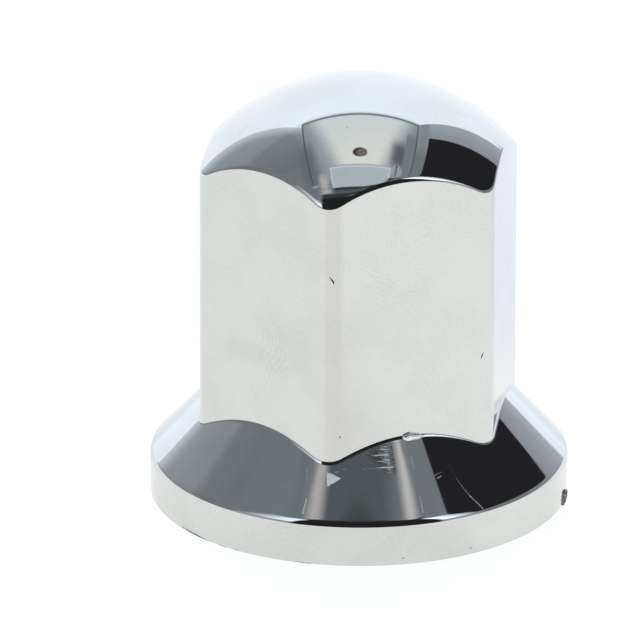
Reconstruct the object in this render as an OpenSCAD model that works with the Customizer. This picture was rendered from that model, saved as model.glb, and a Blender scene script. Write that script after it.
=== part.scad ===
// Push-on cover for a hexagonal wheel nut: a domed hexagonal cap on a flared round flange.
// The origin is the middle of the rim's underside. The open end faces down and +Z runs up to the dome.

/* [Wheel nut] */
// Width of the wheel nut across its flats
nut_af = 33; // [27:0.5:36]
// Clearance between the nut and each socket wall, level with the dome's centre
nut_gap = 0.3; // [0.1:0.05:0.6]

/* [Cap] */
// Overall height, from the rim to the top of the dome
height = 55.4; // [46:0.1:80]
// Radius of the dome
dome_r = 26.6; // [24.5:0.1:28]
// Thickness of the dome, the hexagonal wall and the skirt
wall = 2.2; // [1.4:0.1:3]
// Lean of each flat from the upright, so that the moulding leaves its mould
draft = 0.5; // [0:0.1:1.5]
// Outside radius of the hexagon's upright corners
corner_r = 3.6; // [1:0.1:5]
// Inside radius of the hexagon's upright corners
socket_corner_r = 0.8; // [0.3:0.1:2]
// Radius of the rounding where the dome meets each flat
crown_r = 1.1; // [0.3:0.1:2]

/* [Flange] */
// Outside diameter of the flange
flange_d = 54.7; // [52:0.1:72]
// Height of the upright band, up to where the skirt would meet it with no rounding
band_h = 5.5; // [4:0.1:9]
// Thickness of the upright band
band_wall = 2; // [1.4:0.1:2.6]
// Slope of the skirt above the horizontal, in degrees
skirt_slope = 45.7; // [35:0.1:56]
// Radius of the rounding between the band and the skirt
shoulder_r = 1.4; // [0.3:0.1:3]
// Radius of the rounding at the foot of the band
hem_r = 0.2; // [0.2:0.1:0.8]

/* [Grip ribs] */
// Ribs on each wall of the socket
ribs_per_flat = 2; // [1:1:3]
// Distance between neighbouring ribs on one wall
rib_pitch = 9; // [3:0.5:9]
// Radius of a rib's half-round crest
rib_r = 0.6; // [0.5:0.1:1.2]
// How far a rib's crest reaches past the nut's flat, level with the dome's centre
rib_bite = 0.05; // [0:0.01:0.15]
// Height of the ribs' lower ends above the rim
rib_low_z = 14; // [13:0.5:20]
// Height of the ribs' upper ends above the rim
rib_high_z = 36; // [26:0.5:38]

/* [Gate mark] */
// Width of the stub left where the moulding was broken from its runner
gate_w = 1.6; // [0.8:0.1:3]
// Height of the stub above the rim
gate_h = 1.8; // [0.8:0.1:2.4]
// How far the stub stands out from the band
gate_proud = 0.4; // [0.1:0.05:0.6]
// Direction of the stub, in degrees round from +X
gate_angle = -31; // [-60:1:-20]

/* [Hidden] */
$fn = 128;
dome_z = height - dome_r;
socket_apothem = nut_af / 2 + nut_gap;
hex_apothem = socket_apothem + wall;
flange_r = flange_d / 2;
// Lean of a corner's axis, which is where the planes of two leaning flats cross.
corner_draft = atan(tan(draft) / cos(30));
// Half of the angle that a corner's rounding turns through.
corner_half = asin(cos(draft) / 2);
// Length that the shoulder's rounding takes from the band and from the skirt.
shoulder_cut = shoulder_r * tan((90 - skirt_slope) / 2);
// A rounding meets the faces beside it this much past its tangent, so that the two faces truly cross.
graze = 0.0005;
// Cutters run this much past what they cut.
past = 1;
// A size larger than the whole cover, for half-spaces.
beyond = 2 * (height + flange_d);
skin = [0.86, 0.87, 0.87];

// Height of the skirt's outer face, or of a face `inset` inside it, at radius r.
function skirt_z(r, inset) = band_h + ((flange_r - r) * sin(skirt_slope) - inset) / cos(skirt_slope);

// Places children on the outside of one leaning flat: local +X points out of the flat, local +Z up it.
module on_flat(index, apothem) {
    rotate([0, 0, 30 + 60 * index])
        translate([apothem, 0, dome_z])
            rotate([0, -draft, 0])
                children();
}

// Places children on the axis of one upright corner's rounding, with local +X pointing outwards.
module on_corner(index, apothem, r) {
    rotate([0, 0, 60 * index])
        translate([(apothem - r / cos(draft)) / cos(30), 0, dome_z])
            rotate([0, -corner_draft, 0])
                children();
}

// What a rounding of radius r removes outside its arc, between the two directions given in degrees.
module outside_arc(r, from, to) {
    difference() {
        polygon([[0, 0], 2 * r * [cos(from), sin(from)], 2 * r * [cos(to), sin(to)]]);
        circle(r + graze);
    }
}

// Leaning hexagonal column with rounded corners, with no ends within the cover's height.
module hex_column(apothem, r) {
    difference() {
        intersection_for(index = [0 : 5])
            on_flat(index, apothem)
                translate([-beyond, -beyond / 2, -beyond / 2])
                    cube(beyond);
        for (index = [0 : 5])
            on_corner(index, apothem, r)
                linear_extrude(3 * height, center = true)
                    outside_arc(r, -corner_half, corner_half);
    }
}

// Round-nosed column from z = low up to the dome.
module dome_column(r, low) {
    translate([0, 0, low])
        cylinder(r = r, h = dome_z - low);
    translate([0, 0, dome_z])
        sphere(r);
}

// Removes the sharp edge between the dome and one flat, along the arc where they meet.
module crown_rounding(index) {
    // Distances of the rounding's centre from the dome's centre, along the flat's normal and across it.
    depth = hex_apothem * cos(draft) - crown_r;
    reach = sqrt(pow(dome_r - crown_r, 2) - pow(depth, 2));
    on_flat(index, 0)
        rotate([90, 0, 90])
            rotate([0, 0, 40])
                rotate_extrude(angle = 100)
                    translate([reach, depth])
                        outside_arc(crown_r, atan2(depth, reach), 90);
}

// The hexagonal cap as a solid body, with its first `roundings` crown edges rounded one after another.
module cap_body(roundings = 6) {
    difference() {
        if (roundings == 0)
            intersection() {
                dome_column(dome_r, 0);
                hex_column(hex_apothem, corner_r);
            }
        else
            cap_body(roundings - 1);
        if (roundings > 0)
            crown_rounding(roundings);
    }
}

// The flange as a solid body: an upright band with a conical skirt above it.
module flange_body() {
    top_r = socket_apothem;
    rotate_extrude() {
        polygon([
            [0, 0],
            [flange_r - hem_r, 0],
            [flange_r, hem_r],
            [flange_r, band_h - shoulder_cut],
            [flange_r, band_h] + shoulder_cut * [-cos(skirt_slope), sin(skirt_slope)],
            [top_r, skirt_z(top_r, 0)],
            [0, skirt_z(top_r, 0)]
        ]);
        translate([flange_r - hem_r, hem_r])
            circle(hem_r);
        translate([flange_r - shoulder_r, band_h - shoulder_cut])
            circle(shoulder_r + graze);
    }
}

// The stub of the moulding gate, at the foot of the band.
module gate_stub() {
    rotate([0, 0, gate_angle])
        translate([flange_r - band_wall / 2, -gate_w / 2, 0])
            cube([band_wall / 2 + gate_proud, gate_w, gate_h]);
}

// The space inside: the hexagonal socket, and the wider room under the skirt.
module cavity() {
    inner_r = flange_r - band_wall;
    top_r = socket_apothem / 2;
    intersection() {
        dome_column(dome_r - wall, -past);
        hex_column(socket_apothem, socket_corner_r);
    }
    rotate_extrude()
        polygon([
            [0, -past],
            [inner_r, -past],
            [inner_r, skirt_z(inner_r, wall)],
            [top_r, skirt_z(top_r, wall)],
            [0, skirt_z(top_r, wall)]
        ]);
}

// Half-round ribs up the socket's walls, which grip the nut's flats.
module grip_ribs() {
    sink = rib_r - nut_gap - rib_bite;
    for (index = [0 : 5], place = [0 : ribs_per_flat - 1])
        on_flat(index, socket_apothem + sink)
            translate([0, (place - (ribs_per_flat - 1) / 2) * rib_pitch, rib_low_z - dome_z]) {
                cylinder(r = rib_r, h = rib_high_z - rib_low_z);
                sphere(rib_r);
                translate([0, 0, rib_high_z - rib_low_z])
                    sphere(rib_r);
            }
}

// The whole cover, moulded in one piece.
module nut_cover() {
    color(skin) {
        difference() {
            union() {
                cap_body();
                flange_body();
                gate_stub();
            }
            cavity();
        }
        grip_ribs();
    }
}

nut_cover();
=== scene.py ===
"""Looks of a push-on wheel nut cover: its plated shell, grip ribs and gate stub, a studio and a camera."""

import logging
import math
import random
from dataclasses import dataclass, field
from enum import Enum
from typing import Iterable, Optional, Union

import bmesh
import bpy
from mathutils import Matrix, Vector


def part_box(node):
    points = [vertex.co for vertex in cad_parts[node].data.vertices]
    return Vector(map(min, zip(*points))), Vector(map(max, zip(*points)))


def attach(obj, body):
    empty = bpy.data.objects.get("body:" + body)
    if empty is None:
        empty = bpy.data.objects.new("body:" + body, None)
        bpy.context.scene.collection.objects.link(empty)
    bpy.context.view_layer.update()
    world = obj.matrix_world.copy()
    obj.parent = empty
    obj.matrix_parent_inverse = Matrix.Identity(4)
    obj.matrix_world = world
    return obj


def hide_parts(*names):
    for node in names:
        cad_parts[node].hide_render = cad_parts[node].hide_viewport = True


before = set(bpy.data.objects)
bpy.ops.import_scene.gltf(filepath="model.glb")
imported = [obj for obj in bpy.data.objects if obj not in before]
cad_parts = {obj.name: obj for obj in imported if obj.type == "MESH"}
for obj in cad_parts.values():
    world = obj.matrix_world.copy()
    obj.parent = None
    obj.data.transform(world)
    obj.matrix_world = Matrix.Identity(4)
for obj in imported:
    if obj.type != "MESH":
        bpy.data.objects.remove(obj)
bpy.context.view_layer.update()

LOG = logging.getLogger("nut_cover")
CAD_NODE = "nut_cover"
BODY = "root"
MM = 0.001
WELD = 1e-6
SETTLING_ROUNDS = 3
SIDES = 6
SECTOR = 2 * math.pi / SIDES
SHARP_EDGE = math.radians(32)
Colour = tuple[float, float, float]
Point = tuple[float, float, float]
Pair = tuple[float, float]
WHITE: Colour = (1.0, 1.0, 1.0)


# --------------------------------------------------------------------------------------------------
# Node trees written as arithmetic
# --------------------------------------------------------------------------------------------------


class Field:
    """A number that a node tree works out at each place, written with ordinary arithmetic."""

    def __init__(self, tree: bpy.types.NodeTree, socket: bpy.types.NodeSocket) -> None:
        """Wraps an output socket.

        Args:
            tree: The node tree that holds the socket.
            socket: The output socket that gives the number.
        """
        self.tree = tree
        self.socket = socket

    def apply(self, operation: str, *others: "Number") -> "Field":
        """Adds one Math node.

        Args:
            operation: The Math node's operation.
            others: The second and third operands, as fields or plain numbers.

        Returns:
            The node's result.
        """
        node = self.tree.nodes.new("ShaderNodeMath")
        node.operation = operation
        for place, value in enumerate((self, *others)):
            feed(self.tree, node.inputs[place], value)
        return Field(self.tree, node.outputs[0])

    def __add__(self, other: "Number") -> "Field":
        """Sum."""
        return self.apply("ADD", other)

    def __sub__(self, other: "Number") -> "Field":
        """Difference."""
        return self.apply("SUBTRACT", other)

    def __rsub__(self, other: "Number") -> "Field":
        """Difference from a plain number."""
        return self.apply("MULTIPLY_ADD", -1.0, other)

    def __mul__(self, other: "Number") -> "Field":
        """Product."""
        return self.apply("MULTIPLY", other)

    def __truediv__(self, other: "Number") -> "Field":
        """Quotient."""
        return self.apply("DIVIDE", other)

    def __neg__(self) -> "Field":
        """The number with its sign changed."""
        return self.apply("MULTIPLY", -1.0)

    def __lt__(self, other: "Number") -> "Field":
        """1 where this number is less than the other, and 0 elsewhere."""
        return self.apply("LESS_THAN", other)

    def __gt__(self, other: "Number") -> "Field":
        """1 where this number is greater than the other, and 0 elsewhere."""
        return self.apply("GREATER_THAN", other)

    __radd__ = __add__
    __rmul__ = __mul__


Number = Union[Field, float]
Tone = Union[Colour, bpy.types.NodeSocket]
Inputs = dict[Union[str, int], object]


def feed(tree: bpy.types.NodeTree, target: bpy.types.NodeSocket, value: object) -> None:
    """Gives an input socket its value.

    Args:
        tree: The node tree that holds the socket.
        target: The input socket.
        value: A field or socket to link, or a plain value to set.
    """
    if isinstance(value, Field):
        tree.links.new(value.socket, target)
    elif isinstance(value, bpy.types.NodeSocket):
        tree.links.new(value, target)
    else:
        target.default_value = value


def add_node(tree: bpy.types.NodeTree, kind: str, inputs: Inputs, **settings: object) -> bpy.types.Node:
    """Adds one node.

    Args:
        tree: The node tree.
        kind: The node's type name.
        inputs: Input socket name or number to its field, socket or value.
        settings: The node's own properties.

    Returns:
        The new node.
    """
    node = tree.nodes.new(kind)
    for name, value in settings.items():
        setattr(node, name, value)
    for name, value in inputs.items():
        feed(tree, node.inputs[name], value)
    return node


def sine(angle: Field) -> Field:
    """Sine of an angle in radians."""
    return angle.apply("SINE")


def cosine(angle: Field) -> Field:
    """Cosine of an angle in radians."""
    return angle.apply("COSINE")


def root(value: Field) -> Field:
    """Square root, or 0 for a negative number."""
    return value.apply("SQRT")


def choose(test: Field, yes: Number, no: Number) -> Field:
    """Picks between two numbers.

    Args:
        test: 1 or 0.
        yes: The result where test is 1.
        no: The result where test is 0.

    Returns:
        The chosen number.
    """
    return test * yes + (1.0 - test) * no


def soft_step(value: Field, start: Number, end: Number) -> Field:
    """A smooth ramp from 0 at start to 1 at end.

    Args:
        value: The number to test.
        start: Where the ramp leaves 0.
        end: Where the ramp reaches 1.

    Returns:
        The ramp's height.
    """
    node = add_node(value.tree, "ShaderNodeMapRange", {}, interpolation_type="SMOOTHSTEP")
    for name, number in (("Value", value), ("From Min", start), ("From Max", end)):
        feed(value.tree, node.inputs[name], number)
    return Field(value.tree, node.outputs["Result"])


def hold(value: Field) -> Field:
    """The number, kept from 0 to 1."""
    return value.apply("MAXIMUM", 0.0).apply("MINIMUM", 1.0)


def axes_of(tree: bpy.types.NodeTree, vector: bpy.types.NodeSocket) -> tuple[Field, Field, Field]:
    """The x, y and z fields of a vector."""
    node = add_node(tree, "ShaderNodeSeparateXYZ", {"Vector": vector})
    return tuple(Field(tree, node.outputs[axis]) for axis in "XYZ")


def turned_axes(tree: bpy.types.NodeTree, vector: bpy.types.NodeSocket,
                turn: float) -> tuple[Field, Field, Field]:
    """Splits a vector into fields as a camera sees it: to its right, away from it and upwards.

    Args:
        tree: The node tree.
        vector: The vector.
        turn: How far the camera stands round the axis, in radians.

    Returns:
        The three fields.
    """
    turned = add_node(tree, "ShaderNodeVectorRotate", {"Vector": vector, "Angle": -turn},
                      rotation_type="Z_AXIS")
    return axes_of(tree, turned.outputs["Vector"])


def mix_colours(tree: bpy.types.NodeTree, share: Number, first: Tone, second: Tone) -> bpy.types.NodeSocket:
    """Mixes two colours.

    Args:
        tree: The node tree.
        share: How much of the second colour shows, from 0 to 1.
        first: The first colour.
        second: The second colour.

    Returns:
        The mixed colour.
    """
    node = add_node(tree, "ShaderNodeMix", {}, data_type="RGBA")
    feed(tree, node.inputs[0], share)
    for place, colour in ((6, first), (7, second)):
        feed(tree, node.inputs[place], (*colour, 1.0) if isinstance(colour, tuple) else colour)
    return node.outputs[2]


class Recipe:
    """A geometry node tree with named inputs, which is run once to give a plain mesh."""

    def __init__(self, name: str) -> None:
        """Starts an empty tree.

        Args:
            name: The tree's name.
        """
        self.tree = bpy.data.node_groups.new(name, "GeometryNodeTree")
        self.values: dict[str, object] = {}
        self._interface("Geometry", "INPUT", "NodeSocketGeometry")
        self._interface("Geometry", "OUTPUT", "NodeSocketGeometry")
        self.source = self.tree.nodes.new("NodeGroupInput")

    def _interface(self, name: str, side: str, kind: str) -> bpy.types.NodeTreeInterfaceSocket:
        """Adds one socket to the tree's interface."""
        return self.tree.interface.new_socket(name, in_out=side, socket_type=kind)

    def given(self, name: str, value: object, kind: str = "NodeSocketFloat") -> bpy.types.NodeSocket:
        """Adds a named input.

        Args:
            name: The input's name.
            value: Its value in this run.
            kind: Its socket type.

        Returns:
            The socket that the input's value comes out of.
        """
        identifier = self._interface(name, "INPUT", kind).identifier
        self.values[identifier] = value
        return next(socket for socket in self.source.outputs if socket.identifier == identifier)

    def number(self, name: str, value: float) -> Field:
        """Adds a named number and returns its field."""
        return Field(self.tree, self.given(name, value))

    def node(self, kind: str, inputs: Inputs, **settings: object) -> bpy.types.Node:
        """Adds one node to the tree, as add_node does."""
        return add_node(self.tree, kind, inputs, **settings)

    def point(self, x: Number, y: Number, z: Number) -> bpy.types.NodeSocket:
        """Joins three numbers into a vector."""
        return self.node("ShaderNodeCombineXYZ", {"X": x, "Y": y, "Z": z}).outputs["Vector"]

    def finish(self, geometry: bpy.types.NodeSocket, material: bpy.types.Material,
               inner: Optional[tuple[Field, bpy.types.Material]] = None) -> None:
        """Ends the tree.

        Args:
            geometry: The finished shape.
            material: The finish that every face takes.
            inner: A field that is 1 on some of the faces, and the finish that those take instead.
        """
        real = self.node("GeometryNodeRealizeInstances", {"Geometry": geometry}).outputs["Geometry"]
        finish = self.given("Finish", material, "NodeSocketMaterial")
        dressed = self.node("GeometryNodeSetMaterial", {"Geometry": real, "Material": finish})
        if inner is not None:
            second = self.given("Inner Finish", inner[1], "NodeSocketMaterial")
            dressed = self.node("GeometryNodeSetMaterial", {
                "Geometry": dressed.outputs["Geometry"], "Material": second, "Selection": inner[0]})
        end = self.tree.nodes.new("NodeGroupOutput")
        self.tree.links.new(dressed.outputs["Geometry"], end.inputs["Geometry"])

    def make_object(self, name: str) -> bpy.types.Object:
        """Runs the tree.

        Args:
            name: The new object's name.

        Returns:
            An object at the origin with the result as its plain mesh.
        """
        piece = link_object(name, bpy.data.meshes.new(name))
        modifier = piece.modifiers.new("recipe", "NODES")
        modifier.node_group = self.tree
        for identifier, value in self.values.items():
            modifier[identifier] = value
        graph = bpy.context.evaluated_depsgraph_get()
        mesh = bpy.data.meshes.new_from_object(piece.evaluated_get(graph), depsgraph=graph)
        piece.modifiers.remove(modifier)
        piece.data = mesh
        mesh.name = name
        while mesh.materials[0] is None:
            mesh.materials.pop(index=0)
        return piece


def link_object(name: str, data: object) -> bpy.types.Object:
    """Makes an object and links it to the scene.

    Args:
        name: The object's name.
        data: Its mesh or camera data.

    Returns:
        The object.
    """
    thing = bpy.data.objects.new(name, data)
    bpy.context.scene.collection.objects.link(thing)
    return thing


# --------------------------------------------------------------------------------------------------
# Finishes
# --------------------------------------------------------------------------------------------------


class Coat:
    """A material being made, with its shader and the place on the piece that is being shaded."""

    def __init__(self, name: str) -> None:
        """Starts a material.

        Args:
            name: The material's name.
        """
        self.material = bpy.data.materials.new(name)
        self.material.use_nodes = True
        self.tree = self.material.node_tree
        self.shader = self.tree.nodes["Principled BSDF"]
        self.place = add_node(self.tree, "ShaderNodeTexCoord", {}).outputs["Object"]

    def node(self, kind: str, inputs: Inputs, **settings: object) -> bpy.types.Node:
        """Adds one node to the material, as add_node does."""
        return add_node(self.tree, kind, inputs, **settings)

    def vector(self, operation: str, *operands: object) -> bpy.types.NodeSocket:
        """The vector that one Vector Math node gives."""
        node = self.node("ShaderNodeVectorMath", dict(enumerate(operands)), operation=operation)
        return node.outputs["Vector"]

    def measure(self, operation: str, *operands: object) -> Field:
        """The number that one Vector Math node gives."""
        node = self.node("ShaderNodeVectorMath", dict(enumerate(operands)), operation=operation)
        return Field(self.tree, node.outputs["Value"])

    def scaled(self, vector: bpy.types.NodeSocket, length: Number) -> bpy.types.NodeSocket:
        """A vector made longer or shorter."""
        node = self.node("ShaderNodeVectorMath", {0: vector, "Scale": length}, operation="SCALE")
        return node.outputs["Vector"]

    def noise(self, size: float, detail: float = 2.0, roughness: float = 0.5,
              place: Optional[bpy.types.NodeSocket] = None) -> Field:
        """Random noise.

        Args:
            size: How large its features are.
            detail: How many finer layers it has.
            roughness: How strong those are.
            place: Where it is read, if not at the place being shaded.

        Returns:
            The noise, from 0 to 1.
        """
        where = self.place if place is None else place
        node = self.node("ShaderNodeTexNoise", {
            "Vector": where, "Scale": 1 / size, "Detail": detail, "Roughness": roughness})
        return Field(self.tree, node.outputs["Fac"])

    def bump(self, height: Field, depth: Number,
             under: Optional[bpy.types.NodeSocket] = None) -> bpy.types.NodeSocket:
        """A rough surface's normal.

        Args:
            height: The roughness, from 0 to 1.
            depth: How deep it is.
            under: The normal of the surface that it lies on, if that isn't the mesh's own.

        Returns:
            The normal.
        """
        inputs = {"Height": height, "Distance": depth}
        if under is not None:
            inputs["Normal"] = under
        return self.node("ShaderNodeBump", inputs).outputs["Normal"]

    def finish(self, inputs: Inputs) -> bpy.types.Material:
        """Feeds the shader.

        Args:
            inputs: Input name to its field, socket, colour or value.

        Returns:
            The finished material.
        """
        for name, value in inputs.items():
            feed(self.tree, self.shader.inputs[name], (*value, 1.0) if isinstance(value, tuple) else value)
        return self.material


class Damage(Enum):
    """What a mark has done to the plating."""

    SCUFF = "scuff"
    CHIP = "chip"


@dataclass(frozen=True)
class Mark:
    """A tapering stroke on the plating, between two places on the cover's outside.

    A place is its bearing about the axis in degrees and its height. The two widths are the stroke's
    half-widths at its ends, where a negative one fades the stroke out. strength says how fully it covers the
    plating, blur is how wide its edge is, fade is the share of its strength that it loses by its end, and a
    square mark starts with a straight edge. Lengths are in millimetres.
    """

    start: Pair
    end: Pair
    widths: Pair
    strength: float = 1.0
    damage: Damage = Damage.SCUFF
    blur: float = 0.05
    fade: float = 0.0
    square: bool = False


@dataclass(frozen=True)
class FingerPrint:
    """A greasy print on a flat, whose ridges curve round its core.

    middle and core are places, as a Mark's are, and half is the print's reach to each side and up or down, in
    millimetres. ridges and haze say how strongly its ridges and the grease between them dull the plating.
    """

    middle: Pair
    core: Pair
    half: Pair
    ridges: float
    haze: float


def scratch_along(places: list[Pair], widths: list[float], strength: float) -> list[Mark]:
    """Joins strokes into one scratch.

    Args:
        places: The scratch's places, in order.
        widths: Its half-width at each place.
        strength: How strongly it shows where it is widest, and less where it is narrower.

    Returns:
        One mark for each stretch.
    """
    steps = zip(places, places[1:], widths, widths[1:])
    return [Mark(start, end, pair, strength * max(pair) / max(widths)) for start, end, *pair in steps]


def skirt_marks() -> list[Mark]:
    """The scratches, scuffs and specks on the skirt and at its top.

    Returns:
        The marks.
    """
    long_scratch = scratch_along(
        [(-78.7, 13.2), (-79.1, 10.8), (-78.4, 9.0), (-76.6, 7.3), (-74.2, 5.7), (-72.8, 4.7)],
        [0.02, 0.03, 0.045, 0.075, 0.1, 0.03], 1.0)
    dashes = [
        Mark((-91.3, 11.9), (-91.4, 10.6), (0.07, 0.05), 0.6),
        Mark((-91.4, 8.0), (-91.7, 6.5), (0.06, 0.09), 0.75),
        Mark((-124.4, 7.9), (-124.7, 6.4), (0.06, 0.1), 0.65),
        Mark((-126.6, 10.9), (-125.3, 9.3), (0.03, 0.03), 0.3),
        Mark((-85.3, 9.8), (-82.2, 10.0), (0.07, 0.04), 0.5),
        Mark((-84.4, 9.5), (-82.8, 9.65), (0.13, 0.05), 0.65),
        Mark((-86.4, 11.7), (-86.0, 11.6), (0.05, 0.03), 0.4),
        Mark((-85.1, 7.5), (-84.4, 7.4), (0.05, 0.03), 0.35),
    ]
    scuffs = [
        Mark((-119.3, 9.85), (-113.6, 10.05), (0.95, -0.3), 0.72,
             blur=0.25, fade=0.65, square=True),
        Mark((-108.0, 10.95), (-98.1, 11.05), (0.01, 0.11), 0.3, blur=0.08),
        Mark((-117.0, 10.6), (-110.5, 10.7), (0.02, -0.03), 0.5),
        Mark((-114.5, 10.9), (-108.5, 10.9), (0.01, -0.03), 0.5),
    ]
    return [*long_scratch, *dashes, *scuffs]


def body_marks() -> list[Mark]:
    """The nicks, specks and faint lines on the flats, the dome and the band, and the dark marks along the
    band's lowest edge, where it meets the floor.

    Returns:
        The marks.
    """
    chip = Damage.CHIP
    return [
        Mark((-119.3, 36.0), (-118.1, 35.4), (0.04, 0.13), 1.0, chip),
        Mark((-118.1, 35.4), (-117.5, 34.7), (0.12, 0.02), 1.0, chip),
        Mark((-62.1, 24.1), (-63.0, 23.4), (0.04, 0.13), 1.0, chip),
        Mark((-63.0, 23.4), (-63.4, 23.0), (0.13, 0.05), 1.0, chip),
        Mark((-115.8, 14.9), (-115.6, 14.8), (0.1, 0.06), 0.55, chip),
        # Dark marks along the band's lowest edge, where it meets the floor.
        Mark((-165.0, 0.3), (-158.0, 0.15), (0.03, 0.14), 0.9, chip),
        Mark((-158.0, 0.15), (-152.5, 0.05), (0.14, 0.04), 0.9, chip),
        Mark((-149.5, 0.1), (-147.0, 0.1), (0.08, 0.05), 0.6, chip),
        Mark((-144.0, 0.1), (-142.5, 0.1), (0.08, 0.04), 0.5, chip),
        Mark((-126.5, 0.1), (-122.0, 0.1), (0.05, 0.08), 0.5, chip),
        Mark((-97.7, 0.95), (-97.4, 0.9), (0.08, 0.06), 0.5, chip),
        Mark((-78.6, 0.95), (-78.1, 0.9), (0.09, 0.06), 0.45, chip),
        Mark((-122.9, 16.0), (-123.0, 34.0), (0.06, 0.01), 0.12, chip, 0.12),
        Mark((-114.8, 43.0), (-114.5, 18.0), (0.03, 0.0), 0.08, chip, 0.12),
        Mark((-179.6, 50.0), (-175.7, 51.1), (0.1, 0.03), 0.1, chip, 0.2),
        Mark((-38.0, 52.1), (-29.6, 50.9), (0.08, 0.08), 0.12, chip, 0.15),
        Mark((-117.2, 52.6), (-116.7, 52.5), (0.06, 0.05), 0.35, chip),
    ]


def finger_prints() -> list[FingerPrint]:
    """The two clear prints on the front flats and the smears beside them.

    Returns:
        The prints. A smear is a print with no ridges.
    """
    return [
        FingerPrint((-144.3, 25.0), (-179.0, 27.0), (3.0, 6.6), 0.6, 0.06),
        FingerPrint((-94.0, 38.0), (-87.4, 41.0), (7.0, 6.4), 0.5, 0.03),
        FingerPrint((-157.0, 23.3), (-157.0, 23.3), (4.2, 1.7), 0.0, 0.3),
        FingerPrint((-131.0, 25.3), (-131.0, 25.3), (2.2, 3.0), 0.0, 0.22),
    ]


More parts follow.
